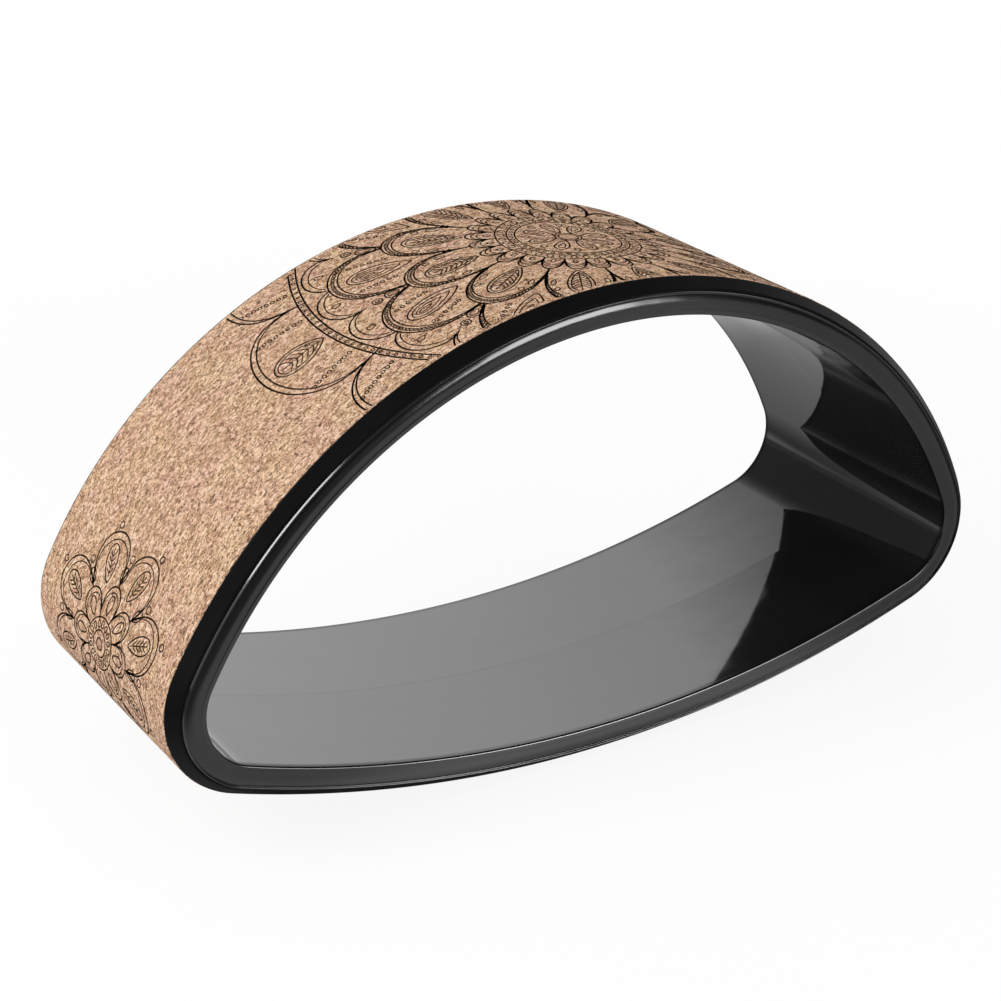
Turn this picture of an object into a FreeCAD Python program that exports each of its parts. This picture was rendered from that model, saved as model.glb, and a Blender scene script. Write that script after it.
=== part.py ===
import FreeCAD, Part
import Sketcher
import math
import os

# Half-moon yoga wheel: a D-shaped hoop in two moulded halves, a foam pad in the channel round it and a
# cork strip laid into the pad. Millimetres. X runs along the wheel's length, Y across its width from
# front to rear, Z up. The origin is under the middle of the curved base, where the wheel stands.
# An inset is the depth of a surface below the wheel's outer outline, measured square to it.

doc = FreeCAD.newDocument("yoga_wheel")
sizes = doc.addObject("Spreadsheet::Sheet", "sizes")

SIZE_ROWS = [
    ("overall_width", "130", "rim face to rim face"),
    ("overall_height", "211", "base to crown, over the cork"),
    ("crown_radius", "220.5", "outline: the long upper arc"),
    ("base_radius", "534", "outline: the shallow lower arc"),
    ("corner_radius", "41.5", "outline: the arcs that join the two"),
    ("cork_thickness", "1.5", "cork strip"),
    ("cork_width", "116.6", "cork strip, edge to edge"),
    ("cork_joint_place", "60", "butt joint of the cork, along X under the base"),
    ("pad_joint_place", "-60", "butt joint of the pad, along X under the base"),
    ("joint_gap", "0.4", "open width of both butt joints"),
    ("shoulder_radius", "7", "round outer edge of the pad"),
    ("pad_setback", "0.3", "side of the pad behind the rim face"),
    ("pad_over_rim", "5", "pad and cork together, above the rim's lip"),
    ("rim_depth", "9.9", "rim, from its lip to the opening"),
    ("rim_thickness", "6", "rim, front to back"),
    ("rim_round", "5", "round outer part of the rim face"),
    ("lip_width", "0.7", "thin lip under the pad's edge"),
    ("lip_setback", "0.3", "lip behind the rim face"),
    ("opening_bevel", "0.5", "edge between the rim face and the opening"),
    ("wall_thickness", "4.2", "hoop wall at the rim"),
    ("draft_rise", "0.5", "growth of the wall from the rim to the mid-plane"),
    ("lap_length", "1.6", "half-lap joint between the halves, front to back"),
    ("lap_clearance", "0.1", "weld gap in the half-lap joint"),
    ("glue_line", "0.1", "adhesive between hoop, pad and cork"),
    ("side_clearance", "0.2", "pad beside the rims, and cork beside the pad"),
]
for row, (alias, text, note) in enumerate(SIZE_ROWS, start=1):
    sizes.set(f"A{row}", note)
    sizes.set(f"B{row}", text)
    sizes.setAlias(f"B{row}", alias)
doc.recompute()


def size(alias):
    """Number in the sheet's cell of that name."""
    return float(sizes.get(alias))


# Insets of the surfaces, each as an expression over the sheet
OUTLINE = "0"
CORK_BACK = "sizes.cork_thickness"
CORK_SEAT = "sizes.cork_thickness + sizes.glue_line"
LIP_TOP = "sizes.pad_over_rim"
PAD_ON_LIP = "sizes.pad_over_rim - sizes.glue_line"
LIP_SIDE = "sizes.pad_over_rim + sizes.lip_width"
OPENING = "sizes.pad_over_rim + sizes.rim_depth"
OPENING_MIDDLE = f"{OPENING} + sizes.draft_rise"
WALL_TOP = f"{OPENING} - sizes.wall_thickness"
PAD_BACK = f"{WALL_TOP} - sizes.glue_line"
STEP_SIDE = f"{WALL_TOP} + (sizes.wall_thickness + sizes.draft_rise) / 2"
LAP_SIDE = f"{STEP_SIDE} - sizes.lap_clearance"
CLEAR_OUTSIDE = "-sizes.shoulder_radius"

# Distances from the mid-plane
HALF_WIDTH = "sizes.overall_width / 2"
LIP_FACE = f"{HALF_WIDTH} - sizes.lip_setback"
RIM_BACK = f"{HALF_WIDTH} - sizes.rim_thickness"
PAD_HALF_WIDTH = f"{HALF_WIDTH} - sizes.pad_setback"
PAD_IN_CHANNEL = f"{RIM_BACK} - sizes.side_clearance"


def number(expression):
    """Value of an expression over the sheet."""
    return float(sizes.evalExpression(expression))


def outline_arcs(inset):
    """Centre, radius and end angles of the four tangent arcs of the D outline, that far inside it.

    The crown and base arcs have their centres on the Z axis. The corner centre lies where a circle of
    the corner radius touches both from inside, so it is the same for every inset.
    """
    crown = size("crown_radius")
    base = size("base_radius")
    corner = size("corner_radius")
    crown_z = size("overall_height") - crown
    to_crown = crown - corner
    to_base = base - corner
    corner_z = (to_crown**2 - to_base**2 - crown_z**2 + base**2) / (2 * (base - crown_z))
    corner_x = math.sqrt(to_crown**2 - (corner_z - crown_z) ** 2)
    upper = math.atan2(corner_z - crown_z, corner_x)
    lower = math.atan2(corner_z - base, corner_x)
    return [
        ((0, crown_z), crown - inset, upper, math.pi - upper),
        ((-corner_x, corner_z), corner - inset, math.pi - upper, math.pi - lower),
        ((0, base), base - inset, math.pi - lower, 2 * math.pi + lower),
        ((corner_x, corner_z), corner - inset, lower, upper),
    ]


def origin_plane(body, role):
    """The body's own origin plane of that role."""
    return next(plane for plane in body.Origin.OriginFeatures if plane.Role == role)


def new_sketch(body, name, depth="0"):
    """Sketch parallel to XZ, at a depth towards the front (-Y)."""
    sketch = body.newObject("Sketcher::SketchObject", name)
    sketch.AttachmentSupport = [(origin_plane(body, "XZ_Plane"), "")]
    sketch.MapMode = "FlatFace"
    sketch.setExpression(".AttachmentOffset.Base.z", depth)
    return sketch


def draw_outline(sketch, inset):
    """Closed D outline of four tangent arcs at an inset, held by its radii and centres."""
    first = sketch.GeometryCount
    for centre, radius, start, end in outline_arcs(number(inset)):
        circle = Part.Circle(FreeCAD.Vector(*centre, 0), FreeCAD.Vector(0, 0, 1), radius)
        sketch.addGeometry(Part.ArcOfCircle(circle, start, end), False)
    crown, left, base, right = range(first, first + 4)
    for one, other in ((crown, left), (left, base), (base, right), (right, crown)):
        sketch.addConstraint(Sketcher.Constraint("Tangent", one, 2, other, 1))
    sketch.addConstraint(Sketcher.Constraint("PointOnObject", crown, 3, -2))
    sketch.addConstraint(Sketcher.Constraint("PointOnObject", base, 3, -2))
    depth = number(inset)
    dimensions = [
        ("crown", Sketcher.Constraint("Radius", crown, size("crown_radius") - depth),
         f"sizes.crown_radius - ({inset})"),
        ("base", Sketcher.Constraint("Radius", base, size("base_radius") - depth),
         f"sizes.base_radius - ({inset})"),
        ("left", Sketcher.Constraint("Radius", left, size("corner_radius") - depth),
         f"sizes.corner_radius - ({inset})"),
        ("right", Sketcher.Constraint("Radius", right, size("corner_radius") - depth),
         f"sizes.corner_radius - ({inset})"),
        ("base_centre", Sketcher.Constraint("DistanceY", -1, 1, base, 3, size("base_radius")),
         "sizes.base_radius"),
        ("centres", Sketcher.Constraint("DistanceY", crown, 3, base, 3,
                                        size("base_radius") + size("crown_radius") - size("overall_height")),
         "sizes.base_radius + sizes.crown_radius - sizes.overall_height"),
    ]
    for name, constraint, expression in dimensions:
        index = sketch.addConstraint(constraint)
        sketch.renameConstraint(index, f"{name}_{first}")
        sketch.setExpression(f"Constraints.{name}_{first}", expression)


def draw_joint(sketch, place):
    """Narrow upright slot across the base, at a place along X."""
    middle = number(place)
    half = size("joint_gap") / 2
    low = -size("shoulder_radius")
    high = number(OPENING) + size("shoulder_radius")
    corners = [(middle - half, low), (middle + half, low), (middle + half, high), (middle - half, high)]
    for index, start in enumerate(corners):
        end = corners[(index + 1) % 4]
        sketch.addGeometry(Part.LineSegment(FreeCAD.Vector(*start, 0), FreeCAD.Vector(*end, 0)), False)
    for index in range(4):
        sketch.addConstraint(Sketcher.Constraint("Coincident", index, 2, (index + 1) % 4, 1))
    for index, way in enumerate(("Horizontal", "Vertical", "Horizontal", "Vertical")):
        sketch.addConstraint(Sketcher.Constraint(way, index))
    dimensions = [
        ("near_side", Sketcher.Constraint("DistanceX", -1, 1, 0, 1, middle - half),
         f"{place} - sizes.joint_gap / 2"),
        ("gap", Sketcher.Constraint("DistanceX", 0, 1, 0, 2, 2 * half), "sizes.joint_gap"),
        ("below", Sketcher.Constraint("DistanceY", 0, 1, -1, 1, -low), "sizes.shoulder_radius"),
        ("above", Sketcher.Constraint("DistanceY", -1, 1, 2, 1, high), f"{OPENING} + sizes.shoulder_radius"),
    ]
    for name, constraint, expression in dimensions:
        index = sketch.addConstraint(constraint)
        sketch.renameConstraint(index, name)
        sketch.setExpression(f"Constraints.{name}", expression)


def edges_on(feature, inset, distance):
    """Names of the feature's edges that follow the D outline at an inset and a distance along Y."""
    arcs = []
    for centre, radius, start, end in outline_arcs(number(inset)):
        circle = Part.Circle(FreeCAD.Vector(centre[0], distance, centre[1]), FreeCAD.Vector(0, -1, 0), radius)
        circle.XAxis = FreeCAD.Vector(1, 0, 0)
        arcs.append(Part.ArcOfCircle(circle, start, end).toShape())
    outline = Part.Compound(arcs)
    found = []
    for index, edge in enumerate(feature.Shape.Edges, start=1):
        points = edge.discretize(5)
        if all(outline.distToShape(Part.Vertex(point))[0] < 0.001 for point in points):
            found.append(f"Edge{index}")
    return found


def recomputed(feature):
    """The feature after a recompute of the document."""
    doc.recompute()
    return feature


def pad_outline(body, name, inset, start, length, way):
    """Solid D of an inset's outline, from a distance off the mid-plane outwards; way is -1 front, 1 rear."""
    sketch = new_sketch(body, f"{name}_sketch", start if way < 0 else f"-({start})")
    draw_outline(sketch, inset)
    pad = body.newObject("PartDesign::Pad", name)
    pad.Profile = sketch
    pad.Reversed = way > 0
    pad.setExpression("Length", length)
    return recomputed(pad)


def pad_both_ways(body, name, inset, length):
    """Solid D of an inset's outline, half of its length on each side of the mid-plane."""
    sketch = new_sketch(body, f"{name}_sketch")
    draw_outline(sketch, inset)
    pad = body.newObject("PartDesign::Pad", name)
    pad.Profile = sketch
    pad.SideType = "Symmetric"
    pad.setExpression("Length", length)
    return recomputed(pad)


def pocket_both_ways(body, name, sketch, length):
    """Cut of a sketch, half of its length on each side of the mid-plane."""
    before = body.Tip.Shape.Volume
    pocket = body.newObject("PartDesign::Pocket", name)
    pocket.Profile = sketch
    pocket.SideType = "Symmetric"
    pocket.setExpression("Length", length)
    return cut_something(recomputed(pocket), before)


def pocket_outwards(body, name, sketch, length, way):
    """Cut of a sketch away from the mid-plane; way is -1 front, 1 rear."""
    before = body.Tip.Shape.Volume
    pocket = body.newObject("PartDesign::Pocket", name)
    pocket.Profile = sketch
    pocket.Reversed = way < 0
    pocket.setExpression("Length", length)
    return cut_something(recomputed(pocket), before)


def cut_something(pocket, before):
    """The pocket, once its cut has been shown to take material away."""
    if pocket.Shape.Volume >= before:
        raise RuntimeError(f"{pocket.Name} cut nothing")
    return pocket


def fillet(body, name, edges, radius):
    """Rounded edges on the body's last feature."""
    feature = body.newObject("PartDesign::Fillet", name)
    feature.Base = (edges[0], edges[1])
    feature.setExpression("Radius", radius)
    return recomputed(feature)


def chamfer(body, name, edges, width):
    """Bevelled edges on the body's last feature."""
    feature = body.newObject("PartDesign::Chamfer", name)
    feature.Base = (edges[0], edges[1])
    feature.setExpression("Size", width)
    return recomputed(feature)


def outline_loft(body, kind, name, sections, way):
    """Straight-sided loft between D outlines; each section is an inset and a distance off the mid-plane."""
    sketches = []
    for index, (inset, distance) in enumerate(sections):
        sketch = new_sketch(body, f"{name}_sketch_{index}", distance if way < 0 else f"-({distance})")
        draw_outline(sketch, inset)
        sketches.append(sketch)
    doc.recompute()
    loft = body.newObject(kind, name)
    loft.Profile = sketches[0]
    loft.Sections = sketches[1:]
    loft.Ruled = True
    return recomputed(loft)


def hoop_half(label, way):
    """One moulded half of the hoop, from the mid-plane out to its rim; way is -1 front, 1 rear."""
    body = doc.addObject("PartDesign::Body", label)
    body.Label = label

    # Discs for the wall and the rim, whose face turns away in a large round towards the pad
    rim_face = way * number(HALF_WIDTH)
    pad_outline(body, f"{label}_wall", WALL_TOP, "0", HALF_WIDTH, way)
    rim = pad_outline(body, f"{label}_rim", LIP_TOP, RIM_BACK, "sizes.rim_thickness", way)
    fillet(body, f"{label}_rim_round", (rim, edges_on(rim, LIP_TOP, rim_face)), "sizes.rim_round")

    # Thin lip along the rim's outer edge, with a groove left between it and the round
    lip_sketch = new_sketch(body, f"{label}_lip_sketch", RIM_BACK if way < 0 else f"-({RIM_BACK})")
    draw_outline(lip_sketch, LIP_TOP)
    draw_outline(lip_sketch, LIP_SIDE)
    lip = body.newObject("PartDesign::Pad", f"{label}_lip")
    lip.Profile = lip_sketch
    lip.Reversed = way > 0
    lip.setExpression("Length", "sizes.rim_thickness - sizes.lip_setback")
    doc.recompute()

    # The opening narrows from the rim to the mid-plane, so that the half comes off its core
    before = body.Tip.Shape.Volume
    opening = outline_loft(body, "PartDesign::SubtractiveLoft", f"{label}_opening",
                           [(OPENING, HALF_WIDTH), (OPENING_MIDDLE, "0")], way)
    cut_something(opening, before)

    # Half-lap joint on the mid-plane: a step round the front half, and a lap on the rear half that covers it
    if way < 0:
        step_sketch = new_sketch(body, f"{label}_step_sketch")
        draw_outline(step_sketch, CLEAR_OUTSIDE)
        draw_outline(step_sketch, STEP_SIDE)
        pocket_outwards(body, f"{label}_step", step_sketch, "sizes.lap_length + sizes.lap_clearance", way)
    else:
        lap_sketch = new_sketch(body, f"{label}_lap_sketch")
        draw_outline(lap_sketch, WALL_TOP)
        draw_outline(lap_sketch, LAP_SIDE)
        lap = body.newObject("PartDesign::Pad", f"{label}_lap")
        lap.Profile = lap_sketch
        lap.setExpression("Length", "sizes.lap_length")
        doc.recompute()

    # Bevelled edge between the rim face and the opening
    last = body.Tip
    chamfer(body, f"{label}_opening_edge", (last, edges_on(last, OPENING, rim_face)), "sizes.opening_bevel")
    return body


hoop_front_half = hoop_half("hoop_front_half", -1)
hoop_rear_half = hoop_half("hoop_rear_half", 1)

# Foam pad: fills the channel between the rims, laps over their lips and ends in round shoulders
cushion_pad = doc.addObject("PartDesign::Body", "cushion_pad")
cushion_pad.Label = "cushion_pad"
pad_both_ways(cushion_pad, "pad_blank", OUTLINE, f"2 * ({PAD_HALF_WIDTH})")
pad_back_sketch = new_sketch(cushion_pad, "pad_back_sketch")
draw_outline(pad_back_sketch, PAD_BACK)
pocket_both_ways(cushion_pad, "pad_back", pad_back_sketch, "sizes.overall_width")
blank = cushion_pad.Tip
shoulder_edges = edges_on(blank, OUTLINE, number(PAD_HALF_WIDTH)) + edges_on(blank, OUTLINE, -number(PAD_HALF_WIDTH))
fillet(cushion_pad, "pad_shoulders", (blank, shoulder_edges), "sizes.shoulder_radius")
for side, way in (("front", -1), ("rear", 1)):
    seat_sketch = new_sketch(cushion_pad, f"pad_seat_{side}_sketch",
                             PAD_IN_CHANNEL if way < 0 else f"-({PAD_IN_CHANNEL})")
    draw_outline(seat_sketch, PAD_ON_LIP)
    pocket_outwards(cushion_pad, f"pad_seat_{side}", seat_sketch, "sizes.rim_thickness + sizes.side_clearance", way)
cork_seat_sketch = new_sketch(cushion_pad, "cork_seat_sketch")
draw_outline(cork_seat_sketch, CLEAR_OUTSIDE)
draw_outline(cork_seat_sketch, CORK_SEAT)
pocket_both_ways(cushion_pad, "cork_seat", cork_seat_sketch, "sizes.cork_width + 2 * sizes.side_clearance")
pad_joint_sketch = new_sketch(cushion_pad, "pad_joint_sketch")
draw_joint(pad_joint_sketch, "sizes.pad_joint_place")
pocket_both_ways(cushion_pad, "pad_joint", pad_joint_sketch, "2 * sizes.overall_width")

# Cork strip: one length wrapped round the pad, its ends meeting under the base
cork_cover = doc.addObject("PartDesign::Body", "cork_cover")
cork_cover.Label = "cork_cover"
pad_both_ways(cork_cover, "cork_blank", OUTLINE, "sizes.cork_width")
cork_back_sketch = new_sketch(cork_cover, "cork_back_sketch")
draw_outline(cork_back_sketch, CORK_BACK)
pocket_both_ways(cork_cover, "cork_back", cork_back_sketch, "2 * sizes.cork_width")
cork_joint_sketch = new_sketch(cork_cover, "cork_joint_sketch")
draw_joint(cork_joint_sketch, "sizes.cork_joint_place")
pocket_both_ways(cork_cover, "cork_joint", cork_joint_sketch, "2 * sizes.cork_width")

doc.recompute()
for item in doc.Objects:
    if "Invalid" in item.State or "Error" in item.State:
        raise RuntimeError(f"{item.Name} failed: {item.State}")

pieces = [hoop_front_half, hoop_rear_half, cushion_pad, cork_cover]
for piece in pieces:
    if piece.Shape.isNull() or not piece.Shape.isValid() or len(piece.Shape.Solids) != 1:
        raise RuntimeError(f"{piece.Label} is not one valid solid")

os.makedirs("parts", exist_ok=True)
for piece in pieces:
    piece.Shape.exportStep(f"parts/{piece.Label}.step")
    box = piece.Shape.optimalBoundingBox()
    print(f"{piece.Label}: {piece.Shape.Volume / 1000:.1f} cm3, "
          f"{box.XLength:.2f} x {box.YLength:.2f} x {box.ZLength:.2f} mm")
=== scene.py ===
import bpy
import numpy as np
from mathutils import Matrix


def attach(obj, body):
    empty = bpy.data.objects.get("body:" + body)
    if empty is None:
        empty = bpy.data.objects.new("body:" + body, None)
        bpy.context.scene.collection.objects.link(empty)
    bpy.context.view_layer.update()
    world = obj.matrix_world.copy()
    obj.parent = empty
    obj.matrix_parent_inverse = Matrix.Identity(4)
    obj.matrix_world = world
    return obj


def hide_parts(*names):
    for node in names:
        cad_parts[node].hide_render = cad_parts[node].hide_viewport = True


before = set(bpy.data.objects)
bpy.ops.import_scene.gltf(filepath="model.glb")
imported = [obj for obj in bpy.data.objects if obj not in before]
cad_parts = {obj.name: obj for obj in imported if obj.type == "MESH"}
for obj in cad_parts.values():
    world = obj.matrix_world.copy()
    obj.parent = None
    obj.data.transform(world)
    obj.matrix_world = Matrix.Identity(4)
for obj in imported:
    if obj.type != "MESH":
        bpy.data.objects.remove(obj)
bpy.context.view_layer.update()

# Hoop: two ring halves moulded in black plastic, polished inside the opening and satin on the rims.
# They lap over each other on the mid-plane and are welded there, so a fine line shows in the opening, and
# the rims are rubbed smoother along the base, where the wheel rocks on the floor.
MM = 0.001
HEIGHT = 211 * MM
CROWN_RADIUS = 220.5 * MM
BASE_RADIUS = 534 * MM
CORNER_RADIUS = 41.5 * MM

crown_z = HEIGHT - CROWN_RADIUS
to_crown = CROWN_RADIUS - CORNER_RADIUS
to_base = BASE_RADIUS - CORNER_RADIUS
corner_z = (to_crown**2 - to_base**2 - crown_z**2 + BASE_RADIUS**2) / (2 * (BASE_RADIUS - crown_z))
corner_x = np.sqrt(to_crown**2 - (corner_z - crown_z) ** 2)
upper = np.arctan2(corner_z - crown_z, corner_x)
lower = np.arctan2(corner_z - BASE_RADIUS, corner_x)

arc_radius = np.array([BASE_RADIUS, CORNER_RADIUS, CROWN_RADIUS, CORNER_RADIUS, BASE_RADIUS])
arc_x = np.array([0, corner_x, 0, -corner_x, 0])
arc_z = np.array([BASE_RADIUS, corner_z, crown_z, corner_z, BASE_RADIUS])
arc_end_turn = np.array([lower, upper, np.pi - upper, np.pi - lower, 1.5 * np.pi])
arc_end = np.cumsum(arc_radius * np.diff(arc_end_turn, prepend=-0.5 * np.pi))
AROUND = arc_end[-1]
APEX = AROUND / 2


def outline(along, inset):
    """Points of the D outline, and its outward directions, at a length along it and a depth inside it.

    The length runs from the middle of the base towards +X and on round. Each of the five arcs turns at a
    steady rate, so a point is its arc's centre plus the radius less the depth, times the outward direction.
    """
    along = np.asarray(along) % AROUND
    arc = np.minimum(np.searchsorted(arc_end, along, side="right"), len(arc_end) - 1)
    turn = arc_end_turn[arc] - (arc_end[arc] - along) / arc_radius[arc]
    out_x, out_z = np.cos(turn), np.sin(turn)
    reach = arc_radius[arc] - inset
    return arc_x[arc] + reach * out_x, arc_z[arc] + reach * out_z, out_x, out_z


def stations(start, stop):
    """Lengths along the outline, from start to stop, at a spacing that follows each arc's radius."""
    spacing = np.array([4.2, 1.4, 3.2, 1.4, 4.2]) * MM
    steps = np.maximum(np.ceil(np.diff(arc_end, prepend=0) / spacing), 1).astype(int)
    place = np.concatenate([[0], np.repeat(np.diff(arc_end, prepend=0) / steps, steps)]).cumsum()
    twice = np.concatenate([place[:-1], place + AROUND])
    return np.concatenate([[start], twice[(twice > start + MM / 2) & (twice < stop - MM / 2)], [stop]])


def rounded(corners, steps=5):
    """Points and outward normals of a closed profile whose corners are rounded.

    A corner is a depth, a distance across and a radius. Its circle's centre lies on the bisector of the two
    sides, where it touches both, and the arc swings evenly from one touching point to the other.
    """
    corners = np.asarray(corners, float) * MM
    point, radius = corners[:, :2], corners[:, 2:]
    shifted = np.roll(point, -1, 0)
    if np.sum(point[:, 0] * shifted[:, 1] - shifted[:, 0] * point[:, 1]) < 0:
        point, radius = point[::-1], radius[::-1]
    back = np.roll(point, 1, 0) - point
    ahead = np.roll(point, -1, 0) - point
    back = back / np.linalg.norm(back, axis=1, keepdims=True)
    ahead = ahead / np.linalg.norm(ahead, axis=1, keepdims=True)
    half = np.arccos(np.sum(back * ahead, 1, keepdims=True)) / 2
    bisector = (back + ahead) / (2 * np.cos(half))
    centre = point + bisector * radius / np.sin(half)
    first = (point + back * radius / np.tan(half) - centre) / radius
    last = (point + ahead * radius / np.tan(half) - centre) / radius
    swing = (np.pi - 2 * half)[:, None]
    share = np.linspace(0, 1, steps + 1)[None, :, None]
    spoke = np.sin((1 - share) * swing) * first[:, None] + np.sin(share * swing) * last[:, None]
    spoke = spoke / np.sin(swing)
    bulge = np.sign(back[:, 1] * ahead[:, 0] - back[:, 0] * ahead[:, 1])[:, None, None]
    points = centre[:, None] + radius[:, None] * spoke
    return points.reshape(-1, 2), (spoke * bulge).reshape(-1, 2)


def new_piece(name, points, faces, normals, material, strip=None):
    """Object at the origin from whole arrays of points, faces and smooth normals.

    A strip, where given, keeps each point's place on the flat piece: its length along it, its place across
    and its depth.
    """
    mesh = bpy.data.meshes.new(name)
    mesh.from_pydata(points, [], faces)
    mesh.shade_smooth()
    mesh.normals_split_custom_set_from_vertices(normals)
    if strip is not None:
        mesh.attributes.new("strip", "FLOAT_VECTOR", "POINT").data.foreach_set("vector", np.ravel(strip))
    mesh.materials.append(material)
    piece = bpy.data.objects.new(name, mesh)
    bpy.context.scene.collection.objects.link(piece)
    return piece


def carried_round(name, corners, along, closed, material, steps=5):
    """Rounded profile carried along the D outline: each profile point keeps its depth and its place across.

    A closed piece joins its last station to its first. An open one ends in two flat faces.
    """
    profile, facing = rounded(corners, steps)
    x, z, out_x, out_z = outline(along[:, None], profile[:, 0])
    points = np.stack([x, np.broadcast_to(profile[:, 1], x.shape), z], -1)
    normals = np.stack(
        [-facing[:, 0] * out_x, np.broadcast_to(facing[:, 1], x.shape), -facing[:, 0] * out_z], -1)
    rows, columns = x.shape
    grid = np.arange(rows * columns).reshape(rows, columns)
    near, far = (grid, np.roll(grid, -1, 0)) if closed else (grid[:-1], grid[1:])
    quads = np.stack([near, far, np.roll(far, -1, 1), np.roll(near, -1, 1)], -1).reshape(-1, 4)
    faces = quads.tolist()
    if not closed:
        faces += [grid[0].tolist(), grid[-1][::-1].tolist()]
    strip = np.stack(np.broadcast_arrays(along[:, None], profile[:, 1], profile[:, 0]), -1)
    return new_piece(
        name, points.reshape(-1, 3), faces, normals.reshape(-1, 3), material, strip.reshape(-1, 3))


class Socket:
    """Output of a shader node. Arithmetic on it adds Math nodes, and node() adds a node of any type."""

    def __init__(self, tree, output):
        self.tree = tree
        self.output = output

    def node(self, kind, settings=None, inputs=None, output=0):
        """Output of a new node, whose settings are set first and then its sockets, by value or by link."""
        made = self.tree.nodes.new(kind)
        for key, value in (settings or {}).items():
            if key == "stops":
                band = made.color_ramp.elements
                band[0].position, band[1].position = value[0][0], value[-1][0]
                for place, _ in value[1:-1]:
                    band.new(place)
                for stop, (_, colour) in zip(band, value):
                    stop.color = (*colour, 1)
            else:
                setattr(made, key, value)
        for key, value in (inputs or {}).items():
            if isinstance(value, Socket):
                self.tree.links.new(value.output, made.inputs[key])
            else:
                made.inputs[key].default_value = value
        return Socket(self.tree, made.outputs[output])

    def math(self, operation, first, second=0.0):
        return self.node("ShaderNodeMath", {"operation": operation}, {0: first, 1: second})

    def __add__(self, other):
        return self.math("ADD", self, other)

    __radd__ = __add__

    def __mul__(self, other):
        return self.math("MULTIPLY", self, other)

    __rmul__ = __mul__

    def __sub__(self, other):
        return self.math("SUBTRACT", self, other)

    def __rsub__(self, other):
        return self.math("SUBTRACT", other, self)

    def size(self):
        """This value without its sign."""
        return self.math("ABSOLUTE", self)

    def axis(self, number):
        """One coordinate of this vector: 0 for x, 1 for y and 2 for z."""
        return self.node("ShaderNodeSeparateXYZ", None, {0: self}, number)

    def scaled(self, factors):
        """This vector times three factors, axis by axis."""
        return self.node("ShaderNodeVectorMath", {"operation": "MULTIPLY"}, {0: self, 1: factors})

    def ramp(self, low, high):
        """0 below low, 1 above high and a smooth step between."""
        return self.node("ShaderNodeMapRange", {"interpolation_type": "SMOOTHSTEP"},
                         {"Value": self, "From Min": low, "From Max": high})

    def noise(self, scale, detail=2.0, roughness=0.5):
        """Cloudy value about 0.5, read at this vector."""
        return self.node("ShaderNodeTexNoise", None,
                         {"Vector": self, "Scale": scale, "Detail": detail, "Roughness": roughness})

    def cells(self, scale, output=0):
        """Voronoi cells read at this vector: 0 gives the distance from a cell's middle, 1 its colour."""
        return self.node("ShaderNodeTexVoronoi", None, {"Vector": self, "Scale": scale}, output)

    def mixed(self, first, second):
        """Colour between two colours, by this value."""
        return self.node("ShaderNodeMix", {"data_type": "RGBA"}, {0: self, 6: first, 7: second}, 2)

    def bump(self, strength, distance):
        """Normal bent by this height, which is counted in units of the distance."""
        return self.node(
            "ShaderNodeBump", None, {"Strength": strength, "Distance": distance, "Height": self})

    def feeds(self, shader, socket):
        self.tree.links.new(self.output, shader.inputs[socket])


def new_finish(name, constants):
    """Material with one Principled shader, its steady values on its sockets, and its Object coordinates."""
    material = bpy.data.materials.new(name)
    material.use_nodes = True
    tree = material.node_tree
    shader = tree.nodes["Principled BSDF"]
    for socket, value in constants.items():
        shader.inputs[socket].default_value = value
    return material, shader, Socket(tree, tree.nodes.new("ShaderNodeTexCoord").outputs["Object"])


HOOP_BLACK = (0.0045, 0.0045, 0.0050, 1)
HOOP_DUSTY = (0.0085, 0.0085, 0.0090, 1)
RIM_STARTS = 61.0 * MM
RIM_FULL = 63.5 * MM
RUBBED_FULL = 10 * MM
RUBBED_ENDS = 32 * MM
hoop_plastic, shader, where = new_finish(
    "hoop_plastic", {"Coat Roughness": 0.04, "Coat IOR": 1.9, "IOR": 1.5})
on_rim = where.axis(1).size().ramp(RIM_STARTS, RIM_FULL)
rubbed = 1 - where.axis(2).ramp(RUBBED_FULL, RUBBED_ENDS)
smudge = where.noise(16, 4, 0.6)
grain = where.noise(2600, 2)
flow = where.noise(30, 2, 0.45)
ripple = where.noise(95, 2)
smudge.ramp(0.35, 0.75).mixed(HOOP_BLACK, HOOP_DUSTY).feeds(shader, "Base Color")
(0.05 + 0.05 * smudge + 0.07 * on_rim).feeds(shader, "Roughness")
(1 - on_rim * (1 - 0.55 * rubbed)).feeds(shader, "Coat Weight")
relief = 0.40 * flow + (0.05 - 0.02 * on_rim) * ripple + 0.003 * grain * on_rim
relief.bump(1.0, 1.0 * MM).feeds(shader, "Normal")

hoop_corners = np.array([
    # depth, distance from the mid-plane, radius of the edge
    (15.38, 0.03, 0.010),
    (15.36, 0.01, 0.005),
    (10.70, 0.01, 0.30),
    (10.70, 59.00, 0.50),
    (5.00, 59.00, 0.20),
    (5.00, 63.95, 0.70),
    (5.42, 64.93, 0.30),
    (5.85, 64.90, 0.25),
    (6.08, 64.12, 0.12),
    (8.235, 65.00, 10.0),
    (12.10, 64.86, 3.00),
    (12.75, 64.92, 0.80),
    (13.20, 64.90, 0.80),
    (13.88, 64.72, 0.50),
    (14.95, 64.70, 0.95),
])
# The rear half lies slightly deeper at the joint, which draws the fine line there.
REAR_STEP = np.zeros_like(hoop_corners)
REAR_STEP[0, 0] = 0.010
all_round = stations(0, AROUND)[:-1]
for name, node, corners in (
        ("hoop_front", "hoop_front_half", hoop_corners * (1, -1, 1)),
        ("hoop_rear", "hoop_rear_half", hoop_corners + REAR_STEP)):
    half_hoop = carried_round(name, corners, all_round, closed=True, material=hoop_plastic, steps=7)
    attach(half_hoop, "root")
    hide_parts(node)

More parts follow.
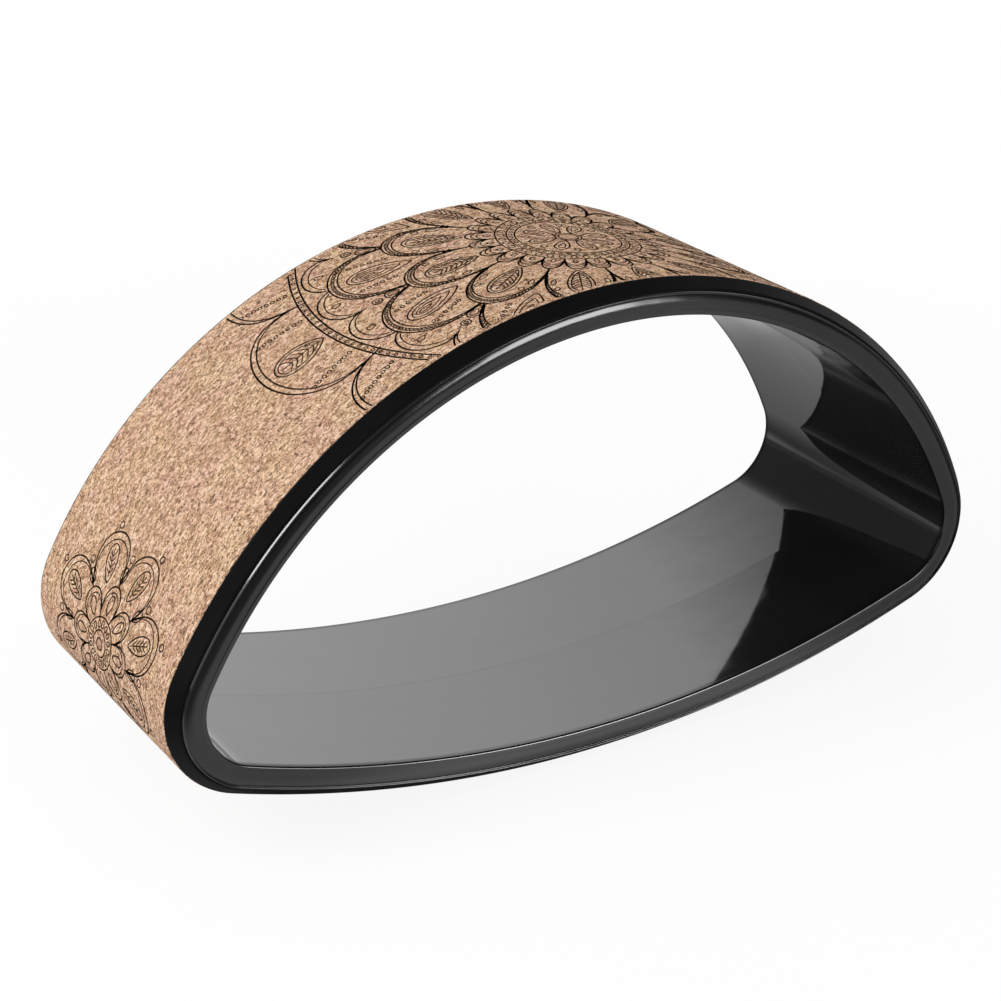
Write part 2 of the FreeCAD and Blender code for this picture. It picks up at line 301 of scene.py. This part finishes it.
# Pad: a thick strip of matt black closed-cell foam, bent round the hoop in its channel and glued.
# Its sides slope down to the rims' lips and turn in at the foot, and its ends meet under the base.
PAD_BLACK = (0.0044, 0.0044, 0.0046, 1)
PAD_WORN = (0.0070, 0.0070, 0.0072, 1)
JOINT_GAP = 0.4 * MM
pad_joint = AROUND - 60 * MM

pad_foam, shader, where = new_finish("pad_foam", {"Specular IOR Level": 0.06, "IOR": 1.45})
pores = where.cells(1500)
skin = where.noise(900, 3, 0.6)
worn = where.noise(22, 4, 0.6).ramp(0.4, 0.75)
worn.mixed(PAD_BLACK, PAD_WORN).feeds(shader, "Base Color")
(0.31 + 0.08 * skin).feeds(shader, "Roughness")
relief = skin + 0.5 * pores
relief.bump(0.2, 0.1 * MM).feeds(shader, "Normal")

shoulder_corners = np.array([
    # depth, distance from the mid-plane, radius of the edge
    (10.6, 58.8, 0.4),
    (4.9, 58.8, 0.2),
    (4.9, 64.10, 0.20),
    (4.05, 63.65, 2.0),
    (0.22, 58.85, 0.8),
    (0.22, 58.5, 0.05),
    (1.6, 58.5, 0.1),
])
pad_corners = np.concatenate([shoulder_corners, shoulder_corners[::-1] * (1, -1, 1)])


def from_joint(joint):
    """Lengths along a strip laid once round the outline, from its butt joint round to it, less the gap."""
    return stations(joint + JOINT_GAP / 2, joint + AROUND - JOINT_GAP / 2)


pad = carried_round("pad", pad_corners, from_joint(pad_joint), closed=False, material=pad_foam, steps=9)
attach(pad, "root")
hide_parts("cushion_pad")

# Cork: one strip of pressed cork granules, 1.5 mm thick, glued into the pad's recess all round.
# Its edges are cut square and slightly rubbed, and its ends meet in a butt joint under the base.
BARK_BROWN = (0.115, 0.058, 0.034, 1)
GRANULES = 820.0
FLECKS = 330.0
cork_joint = 60 * MM


def cork_tones(where):
    """Colour and height of pressed cork.

    Granules of one to two millimetres lie lengthwise, each of its own tone, pink or straw in drifts of a
    centimetre, with fine fibres, dark gaps between some granules, thin slits and a few bark flecks. The
    place on the strip is squeezed along its length, which draws the pattern out that way, and the slits
    further.
    """
    strip = where.node("ShaderNodeAttribute", {"attribute_name": "strip"}, None, 1)
    where = strip.scaled((0.66, 1, 1))
    drift = where.node("ShaderNodeTexNoise", None, {"Vector": where, "Scale": 900.0, "Detail": 2.0}, 1)
    bent = where.node("ShaderNodeMix", {"data_type": "VECTOR"}, {0: 0.0014, 4: where, 5: drift}, 1)
    granule = bent.cells(GRANULES, 1)
    tone = granule.node("ShaderNodeSeparateColor", None, {0: granule}, 0)
    edge = bent.node(
        "ShaderNodeTexVoronoi", {"feature": "DISTANCE_TO_EDGE"}, {"Vector": bent, "Scale": GRANULES})
    fibre = where.noise(1900, 2, 0.6)
    slit = strip.scaled((0.34, 1, 1)).noise(1500, 2, 0.55).ramp(0.61, 0.64)
    broad = where.noise(260, 2, 0.5)
    gap = (1 - edge.ramp(0.02, 0.14)) * where.noise(560, 2, 0.6).ramp(0.45, 0.55)
    level = 0.665 + 0.44 * (tone - 0.5) + 1.85 * (fibre - 0.5) + 0.20 * (broad - 0.5)
    level = level - 0.40 * gap - 1.20 * slit
    straw = level.node("ShaderNodeValToRGB", {"stops": [
        (0.08, (0.140, 0.073, 0.040)),
        (0.28, (0.370, 0.212, 0.119)),
        (0.50, (0.640, 0.382, 0.214)),
        (0.70, (0.835, 0.553, 0.338)),
        (0.92, (0.965, 0.742, 0.532)),
    ]}, {0: level})
    pink = level.node("ShaderNodeValToRGB", {"stops": [
        (0.08, (0.140, 0.069, 0.044)),
        (0.28, (0.374, 0.198, 0.128)),
        (0.50, (0.632, 0.350, 0.222)),
        (0.70, (0.815, 0.508, 0.350)),
        (0.92, (0.950, 0.694, 0.545)),
    ]}, {0: level})
    colour = where.noise(70, 4, 0.65).ramp(0.36, 0.66).mixed(straw, pink)
    chip = bent.cells(FLECKS, 1)
    bark = chip.node("ShaderNodeSeparateColor", None, {0: chip}, 0).ramp(0.92, 0.96)
    fleck = bark * (1 - bent.cells(FLECKS).ramp(0.16, 0.32))
    colour = (0.8 * fleck).mixed(colour, BARK_BROWN)
    return colour, level - 0.3 * fleck


cork, shader, where = new_finish("cork", {"Specular IOR Level": 0.2})
colour, height = cork_tones(where)
colour.feeds(shader, "Base Color")
(0.95 - 0.2 * height).feeds(shader, "Roughness")
height.bump(1.0, 0.6 * MM).feeds(shader, "Normal")

cork_corners = [(0, -58.3, 0.35), (0, 58.3, 0.35), (1.5, 58.3, 0.15), (1.5, -58.3, 0.15)]
cork_strip = carried_round("cork_strip", cork_corners, from_joint(cork_joint), closed=False, material=cork)
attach(cork_strip, "root")
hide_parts("cork_cover")

# Printed lines: dark brown ornament on the cork, a large rosette over the crown and a small flower at each
# end. The ink lies on the granules, so each line is a flat ribbon just above the cork, cut at its edges.
INK_BROWN = (0.120, 0.088, 0.066, 1)
INK_LIFT = 0.05 * MM
INK_EDGE = 57.9

ink, shader, where = new_finish("ink", {"Specular IOR Level": 0.2})
colour, height = cork_tones(where)
thin = where.noise(1500, 3, 0.6).ramp(0.48, 0.70)
(0.95 - 0.45 * thin).mixed(colour, INK_BROWN).feeds(shader, "Base Color")
(0.85 - 0.2 * height).feeds(shader, "Roughness")
height.bump(0.3, 0.3 * MM).feeds(shader, "Normal")


def circles(*radii):
    """Whole circles about the ornament's middle."""
    angle = np.linspace(0, 2 * np.pi, 181)
    return np.stack(np.broadcast_arrays(angle, np.array(radii)[:, None]), -1)


def petals(count, turn, foot, height, fullness, points=33):
    """Round petals side by side.

    A swing from -90 to 90 degrees moves the angle across the petal by its sine, and the radius is the foot
    plus the height times the swing's cosine to the power of the fullness.
    """
    swing = np.linspace(-np.pi / 2, np.pi / 2, points)
    middle = turn + 2 * np.pi / count * np.arange(count)[:, None]
    angle = middle + np.pi / count * np.sin(swing)
    radius = foot + height * np.abs(np.cos(swing)) ** fullness
    return np.stack(np.broadcast_arrays(angle, radius), -1)


def outside_petals(count, turn, foot, height, fullness):
    """Test that is true beyond the edge of such petals, for lines that pass behind them."""
    def test(angle, radius):
        share = ((angle - turn) * count / np.pi + 1) % 2 - 1
        return radius > foot + height * np.maximum(1 - share**2, 0) ** (fullness / 2)
    return test


def rays(count, turn, foot, tip, points=9):
    """Straight strokes away from the middle."""
    middle = turn + 2 * np.pi / count * np.arange(count)[:, None]
    return np.stack(np.broadcast_arrays(middle, np.linspace(foot, tip, points)), -1)


def loops(count, turn, reach, length, width, point=0.0, points=25):
    """Closed ovals about a reach from the middle, whose inner ends narrow to a drop with a point above 0.

    A swing once round gives the length by its cosine and the width by its sine, and the width is narrowed
    by the sine of half the swing to the power of the point.
    """
    swing = np.linspace(0, 2 * np.pi, points)
    outward = reach - length / 2 * np.cos(swing)
    aside = width / 2 * np.sin(swing) * np.sin(swing / 2) ** point
    middle = turn + 2 * np.pi / count * np.arange(count)[:, None]
    angle = middle + np.arctan2(aside, outward)
    return np.stack(np.broadcast_arrays(angle, np.hypot(aside, outward)), -1)


def beads(lines, size):
    """Small rings about every point of other lines.

    Each is the point plus an arm that turns once round, taken back to angle and radius.
    """
    swing = np.linspace(0, 2 * np.pi, 10)
    angle, radius = lines.reshape(-1, 1, 2)[..., 0], lines.reshape(-1, 1, 2)[..., 1]
    ahead = radius * np.cos(angle) + size / 2 * np.cos(swing)
    aside = radius * np.sin(angle) + size / 2 * np.sin(swing)
    return np.stack([np.arctan2(aside, ahead), np.hypot(aside, ahead)], -1)


def veins(count, turn, foot, tip, reach, rise, pairs):
    """Side veins of leaves, in pairs from the midrib.

    A vein's distance aside grows evenly to its reach, and its radius rises by the share along it to the
    power of 1.5.
    """
    share = np.linspace(0, 1, 7)
    middle = turn + 2 * np.pi / count * np.arange(count)[:, None, None, None]
    side = np.array([-1, 1])[:, None, None]
    radius = np.linspace(foot, tip, pairs)[:, None] + rise * share**1.5
    angle = middle + side * np.arctan2(reach * share, radius)
    return np.stack(np.broadcast_arrays(angle, radius), -1).reshape(-1, share.size, 2)


def printed(name, centre, pen, strokes):
    """Ribbons on the cork about a centre, in millimetres from the crown along the strip, by a pen's width.

    A stroke is lines in angle and radius, a width in pens and a test of where it shows. The lines become
    millimetres along and across the strip, their two edges lie half a width to each side, square to the
    line, and the strip's outline then carries every point on to the cork.
    """
    points, faces, used = [], [], 0
    for lines, width, shows in strokes:
        angle, radius = lines[..., 0], lines[..., 1]
        flat = np.stack([centre + radius * np.cos(angle), radius * np.sin(angle)], -1)
        step = np.gradient(flat, axis=1)
        step = step / np.maximum(np.linalg.norm(step, axis=-1, keepdims=True), 1e-9)
        side = np.stack([-step[..., 1], step[..., 0]], -1) * pen * width / 2
        edges = np.stack([flat - side, flat + side], 2)
        kept = np.all(np.abs(edges[..., 1]) < INK_EDGE, -1)
        if shows is not None:
            kept &= shows(angle, radius)
        grid = used + np.arange(edges[..., 0].size).reshape(edges.shape[:3])
        quads = np.stack([grid[:, :-1, 0], grid[:, 1:, 0], grid[:, 1:, 1], grid[:, :-1, 1]], -1)
        faces.append(quads[kept[:, :-1] & kept[:, 1:]])
        points.append(edges.reshape(-1, 2))
        used += edges[..., 0].size
    points, faces = np.concatenate(points), np.concatenate(faces)
    shown, faces = np.unique(faces, return_inverse=True)
    faces = faces.reshape(-1, 4)
    along, over = points[shown].T * MM
    x, z, out_x, out_z = outline(APEX + along, -INK_LIFT)
    piece = new_piece(
        name, np.stack([x, over, z], -1), faces.tolist(), np.stack([out_x, 0 * over, out_z], -1), ink,
        np.stack([APEX + along, over, 0 * over], -1))
    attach(piece, "root")


FINE = 0.8
LINE = 1.0
BOLD = 1.2
ROSETTE_PEN = 0.66
ROSETTE_CENTRE = -11.4
ARCHES = (24, 0, 31, 12, 1)
BLOOM = (12, 0, 42, 36, 0.9)
BEHIND = (12, np.pi / 12, 64, 40, 0.8)
SCALLOP = (24, np.pi / 24, 101, 12, 1)
FRINGE = (12, 0, 116, 34, 0.7)
printed("print_rosette", ROSETTE_CENTRE, ROSETTE_PEN, [
    (circles(4.2, 5.6), LINE, None),
    (loops(8, 0, 12.5, 13, 7.6, 0.8, 33), LINE, None),
    (loops(8, 0, 13.6, 7, 3.4, 0.8), FINE, None),
    (loops(8, np.pi / 8, 18.2, 3.6, 2.6), FINE, None),
    (circles(22.4, 25.8), LINE, None),
    (beads(circles(24.1)[:, :-1:4], 1.5), FINE, None),
    (loops(36, 0, 28.2, 3.0, 2.6, 0, 13), FINE, None),
    (circles(30.6), LINE, None),
    (petals(*ARCHES), BOLD, None),
    (petals(24, 0, 31, 9.6, 1), FINE, None),
    (petals(24, 0, 31, 7.2, 1), FINE, None),
    (loops(24, 0, 34.0, 3.0, 2.0, 0, 13), FINE, None),
    (petals(*BLOOM, 57), BOLD, None),
    (petals(12, 0, 40, 33.6, 0.9, 57), LINE, outside_petals(*ARCHES)),
    (beads(petals(12, 0, 41, 34.8, 0.9, 47)[:, 4:-4], 1.5), FINE, outside_petals(*ARCHES)),
    (loops(12, 0, 57, 25, 13, 0.7, 41), LINE, None),
    (loops(12, 0, 57.4, 21, 9.4, 0.7, 33), FINE, None),
    (rays(12, 0, 47, 66), FINE, None),
    (veins(12, 0, 50, 62, 3.4, 3.2, 6), FINE, None),
    (loops(12, 0.185, 57.5, 5, 2.4, 0.4, 17), FINE, None),
    (loops(12, -0.185, 57.5, 5, 2.4, 0.4, 17), FINE, None),
    (loops(12, 0.150, 64.5, 3.2, 2.2, 0, 13), FINE, None),
    (loops(12, -0.150, 64.5, 3.2, 2.2, 0, 13), FINE, None),
    (petals(*BEHIND, 57), BOLD, outside_petals(*BLOOM)),
    (petals(12, np.pi / 12, 62, 37.6, 0.8, 57), LINE, outside_petals(*BLOOM)),
    (beads(petals(12, np.pi / 12, 63, 38.8, 0.8, 49)[:, 4:-4], 1.5), FINE, outside_petals(*BLOOM)),
    (loops(12, np.pi / 12, 82, 28, 14, 0.7, 41), LINE, outside_petals(*BLOOM)),
    (loops(12, np.pi / 12, 83.4, 21, 9.6, 0.7, 33), FINE, outside_petals(*BLOOM)),
    (loops(12, np.pi / 12, 85, 14, 5.4, 0.7, 33), FINE, None),
    (loops(12, np.pi / 12, 87, 7, 2.4, 0.7, 17), FINE, None),
    (beads(rays(12, np.pi / 12 + 0.118, 78, 93, 6), 1.7), FINE, None),
    (beads(rays(12, np.pi / 12 - 0.118, 78, 93, 6), 1.7), FINE, None),
    (loops(12, 0, 84.6, 9, 7, 0.5, 25), LINE, None),
    (loops(12, 0, 85.2, 5.4, 3.6, 0.5, 17), FINE, None),
    (loops(12, 0, 93.0, 4.2, 4.2, 0, 17), LINE, None),
    (loops(12, 0, 93.0, 1.8, 1.8, 0, 13), FINE, None),
    (petals(*SCALLOP), BOLD, outside_petals(*BEHIND)),
    (petals(24, np.pi / 24, 98, 12, 1), FINE, outside_petals(*BEHIND)),
    (loops(24, np.pi / 24, 105.6, 4, 3, 0.3, 17), FINE, outside_petals(*BEHIND)),
    (circles(114.8, 118.0), BOLD, outside_petals(*SCALLOP)),
    (beads(circles(116.4)[:, :-1], 1.5), FINE, outside_petals(*SCALLOP)),
    (petals(*FRINGE, 57), BOLD, None),
    (petals(12, 0, 114, 33, 0.7, 57), LINE, outside_petals(*SCALLOP)),
    (loops(12, 0, 132, 24, 17, 0.5, 41), LINE, None),
    (loops(12, 0, 132.4, 20, 13, 0.5, 33), FINE, None),
    (rays(12, 0, 123, 141), FINE, None),
    (veins(12, 0, 125, 136, 4.6, 3.4, 5), FINE, None),
    (beads(rays(12, 0.165, 121, 141, 8), 1.8), FINE, None),
    (beads(rays(12, -0.165, 121, 141, 8), 1.8), FINE, None),
])

FLOWER_PEN = 0.57
LEFT_CENTRE = 260
RIGHT_CENTRE = -283
ROUND = (8, 0, 11, 13, 1)
BACK = (8, np.pi / 8, 21, 24, 0.9)
for name, centre in (("print_flower_left", LEFT_CENTRE), ("print_flower_right", RIGHT_CENTRE)):
    printed(name, centre, FLOWER_PEN, [
        (circles(2.4, 5.4), LINE, None),
        (loops(16, 0, 8.0, 3.0, 1.9, 0, 13), FINE, None),
        (circles(10.6), LINE, None),
        (petals(*ROUND), BOLD, None),
        (petals(8, 0, 10, 11.4, 1), FINE, None),
        (loops(8, 0, 16.2, 8, 4.6, 0.6), LINE, None),
        (petals(*BACK, 41), BOLD, outside_petals(*ROUND)),
        (petals(8, np.pi / 8, 20, 21.8, 0.9, 41), FINE, outside_petals(*ROUND)),
        (loops(8, np.pi / 8, 32, 16, 9, 0.6, 33), LINE, None),
        (rays(8, np.pi / 8, 26, 38), FINE, None),
        (veins(8, np.pi / 8, 28, 35, 2.2, 2.4, 4), FINE, None),
        (loops(8, 0, 29, 7, 4.8, 0.5), LINE, None),
        (loops(8, 0, 36.4, 3.2, 3.2, 0, 13), FINE, None),
        (loops(8, np.pi / 8, 47.8, 2.8, 2.8, 0, 13), LINE, None),
    ])

# Camera: at the photograph's place, 0.93 m from the wheel, turned to its left front and slightly rolled.
# It looks at a point inside the opening, from an angle round the wheel, one above the floor and a distance.
TARGET = np.array([-0.01626, 0, 0.09669])
DISTANCE = 0.93359
SENSOR = 36
LENS = 78.19
azimuth, elevation, roll = np.radians([-34.40, 23.95, 2.76])
back = np.array([
    np.sin(azimuth) * np.cos(elevation), -np.cos(azimuth) * np.cos(elevation), np.sin(elevation)])
right = np.array([np.cos(azimuth), np.sin(azimuth), 0])
above = np.cross(back, right)
place = np.eye(4)
place[:3, 0] = np.cos(roll) * right + np.sin(roll) * above
place[:3, 1] = np.cos(roll) * above - np.sin(roll) * right
place[:3, 2] = back
place[:3, 3] = TARGET + back * DISTANCE
camera = bpy.data.objects.new("camera", bpy.data.cameras.new("camera"))
camera.data.sensor_width = SENSOR
camera.data.lens = LENS
camera.matrix_world = Matrix(place.tolist())
scene = bpy.context.scene
scene.collection.objects.link(camera)
scene.camera = camera
scene.view_settings.view_transform = "Standard"

# Floor: a wide, plain, pale sheet that keeps the wheel's soft shadow and fades to white far away.
# To mirror rays it glows with painted light and shade: pale before the wheel, with a painted shadow under
# it and painted shade behind it and on the left.
FLOOR_HALF = 6.0


def grey(tone):
    """Colour without a hue."""
    return (tone, tone, tone, 1)


pale_floor, shader, where = new_finish("pale_floor", {"Roughness": 0.9, "Specular IOR Level": 0.1})
tree = pale_floor.node_tree
where.noise(3).ramp(0.2, 0.8).mixed(grey(0.83), grey(0.86)).feeds(shader, "Base Color")
path = tree.nodes.new("ShaderNodeLightPath")
seen = Socket(tree, path.outputs["Is Camera Ray"])
mirrored = Socket(tree, path.outputs["Is Glossy Ray"])
place_x = where.axis(0)
place_y = where.axis(1)
# Painted light and shade for mirror rays: pale painted light before the wheel, painted shade to its right,
# a painted shadow behind it, and painted dark far back on the left and at the left front.
painted_front_light = (place_x + 0.6 * place_y).ramp(0.04, 0.18).mixed(grey(0.88), grey(0.52))
painted_rear_shade = place_x.ramp(0.08, 0.17).mixed(grey(0.05), grey(0.20))
rear_floor = (place_y + 0.5 * place_x).ramp(-0.15, 0.25).mixed(painted_front_light, painted_rear_shade)
painted_far_shade = place_x.ramp(-0.12, 0.06).mixed(grey(0.05), grey(0.75))
far_floor = place_y.ramp(0.17, 0.30).mixed(rear_floor, painted_far_shade)
open_floor = (place_y + 0.9 * place_x).ramp(-0.44, -0.30).mixed(grey(0.10), far_floor)
# Painted contact shadow under the wheel, for mirror rays: the floor tone goes almost black where the wheel
# stands.
beside = place_x.size().ramp(0.15, 0.24)
before = place_y.size().ramp(0.055, 0.088)
painted_light_and_shade = ((1 - beside) * (1 - before)).mixed(open_floor, grey(0.03))
painted_reflection = mirrored.mixed(grey(1), painted_light_and_shade)
away = where.node("ShaderNodeVectorMath", {"operation": "LENGTH"}, {0: where}, 1).ramp(0.3, 0.9)
# The floor glows: white to the eye, and to mirror rays with these painted reflections of light and shade.
glow = where.node("ShaderNodeEmission", None, {"Color": painted_reflection, "Strength": 1.0})
in_view = (0.90 + 0.10 * away) * seen + 0.90 * mirrored
matt = Socket(tree, shader.outputs[0])
surface = in_view.node("ShaderNodeMixShader", None, {0: in_view, 1: matt, 2: glow})
surface.feeds(tree.nodes["Material Output"], "Surface")

sweep = np.array([(-1, -1, 0), (1, -1, 0), (1, 1, 0), (-1, 1, 0)]) * FLOOR_HALF
floor = new_piece("floor", sweep, [(0, 1, 2, 3)], np.tile((0.0, 0.0, 1.0), (4, 1)), pale_floor)

# Light: soft light from overhead and three soft boxes, at the right front, above the left and on the left.
# The backdrop is white to the eye, and mirror rays see a pale panel behind the wheel in a dark room.
PANEL_TOWARD = (0.643, 0.766)
LAMP_TARGET = np.array([0, 0, 0.1])

world = bpy.data.worlds.new("studio")
world.use_nodes = True
scene.world = world
tree = world.node_tree
backdrop = tree.nodes["Background"]
direction = Socket(tree, tree.nodes.new("ShaderNodeTexCoord").outputs["Generated"])
path = tree.nodes.new("ShaderNodeLightPath")
toward_x = direction.axis(0)
toward_y = direction.axis(1)
toward_z = direction.axis(2)
room = toward_y.ramp(-0.10, 0.10).mixed(grey(0.035), grey(0.09))
panel = toward_z.node("ShaderNodeValToRGB", {"stops": [
    (0.00, (0.74, 0.74, 0.74)),
    (0.45, (0.98, 0.98, 0.98)),
    (0.60, (1.00, 1.00, 1.00)),
    (0.78, (0.05, 0.05, 0.05)),
]}, {0: toward_z})
facing_panel = PANEL_TOWARD[0] * toward_x + PANEL_TOWARD[1] * toward_y
mirrored = facing_panel.ramp(0.40, 0.78).mixed(room, panel)
overhead = toward_z.ramp(0.35, 0.90).mixed(grey(0.16), grey(1))
lighting = Socket(tree, path.outputs["Is Glossy Ray"]).mixed(overhead, mirrored)
in_view = Socket(tree, path.outputs["Is Camera Ray"]) + Socket(tree, path.outputs["Is Transmission Ray"])
in_view.mixed(lighting, grey(1)).feeds(backdrop, "Color")


def soft_box(name, direction, distance, width, height, power):
    """Rectangular lamp in a direction from the wheel's middle, facing it."""
    lamp = bpy.data.lights.new(name, "AREA")
    lamp.shape = "RECTANGLE"
    lamp.size = width
    lamp.size_y = height
    lamp.energy = power
    toward = np.array(direction, float) / np.linalg.norm(direction)
    side = np.cross((0, 0, 1), toward)
    side = side / np.linalg.norm(side)
    place = np.eye(4)
    place[:3, 0] = side
    place[:3, 1] = np.cross(toward, side)
    place[:3, 2] = toward
    place[:3, 3] = LAMP_TARGET + toward * distance
    lamp_object = bpy.data.objects.new(name, lamp)
    lamp_object.matrix_world = Matrix(place.tolist())
    scene.collection.objects.link(lamp_object)


soft_box("right_box", (0.60, -1.20, 0.145), distance=1.35, width=0.40, height=0.40, power=7.2)
soft_box("upper_box", (-0.74, 0.09, 0.66), distance=1.5, width=0.32, height=0.64, power=11)
soft_box("left_box", (-0.90, -0.15, 0.35), distance=1.8, width=1.00, height=1.00, power=5)
